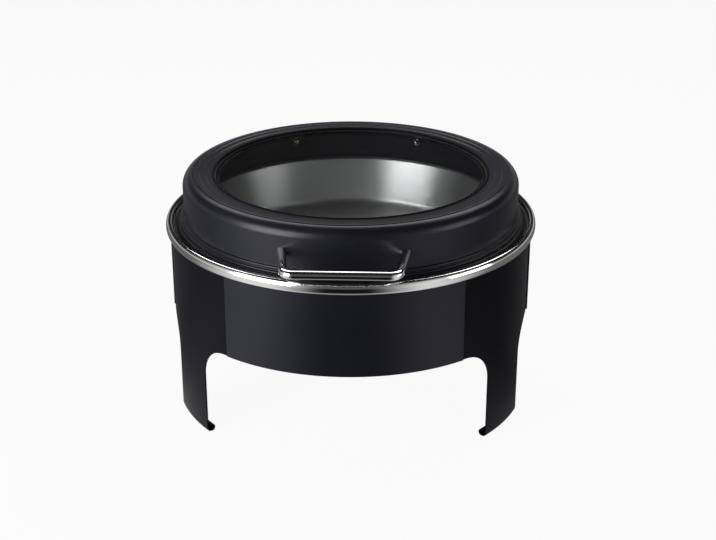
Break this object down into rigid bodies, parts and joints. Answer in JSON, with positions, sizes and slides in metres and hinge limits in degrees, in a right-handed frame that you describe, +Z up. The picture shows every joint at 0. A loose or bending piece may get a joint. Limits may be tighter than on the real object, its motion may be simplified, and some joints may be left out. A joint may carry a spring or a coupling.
{
  "type": "chafing dish",
  "caption": "Round chafing dish on a black three-legged stand, with a polished ring, a steel food pan in a water pan and a hinged black lid with a glass window.",
  "frame": {"origin": "on the floor under the axis of the round dish", "axes": "+Z up along the dish's axis; the handle is at -Y and the hinge at +Y; +X to the right of someone who faces the handle"},
  "size_m": [0.4, 0.458, 0.2556],
  "materials": {
    "black_coat": "satin black powder coat",
    "polished_steel": "polished stainless steel",
    "satin_steel": "satin stainless steel",
    "clear_glass": "clear tempered glass",
    "black_rubber": "black silicone",
    "black_plastic": "black nylon"
  },
  "bodies": {
    "stand": {"skirt_front": "black_coat", "skirt_left": "black_coat", "skirt_right": "black_coat", "leg_left": "black_coat", "leg_right": "black_coat", "leg_rear": "black_coat", "support_hoop": "black_coat"},
    "water_unit": {"water_pan": "satin_steel", "rim_ring": "polished_steel", "hinge_saddle": "polished_steel", "hinge_bushes": "black_plastic", "damper_housing": "polished_steel"},
    "food_pan": {"food_pan": "satin_steel"},
    "lid": {"lid_shell": "black_coat", "drip_collar": "black_coat", "window_glass": "clear_glass", "window_gasket": "black_rubber", "window_clamp_ring": "black_coat", "clamp_nuts": "polished_steel", "handle_bar": "polished_steel", "saddle_washers": "polished_steel", "handle_nuts": "polished_steel", "hinge_leaf": "polished_steel", "leaf_screws": "polished_steel", "leaf_nuts": "polished_steel", "hinge_pin": "polished_steel", "pin_nuts": "polished_steel", "buffer_posts": "black_rubber"}
  },
  "joints": [
    {"name": "lid_hinge", "type": "hinge", "parent": "water_unit", "child": "lid", "pos_m": [0, 0.218, 0.2122], "axis": [-1, 0, 0], "range_deg": [0, 90]},
    {"name": "food_pan_lift", "type": "slide", "parent": "water_unit", "child": "food_pan", "axis": [0, 0, 1], "range_m": [0, 0.012]},
    {"name": "water_unit_lift", "type": "slide", "parent": "stand", "child": "water_unit", "axis": [0, 0, 1], "range_m": [0, 0.08]}
  ]
}
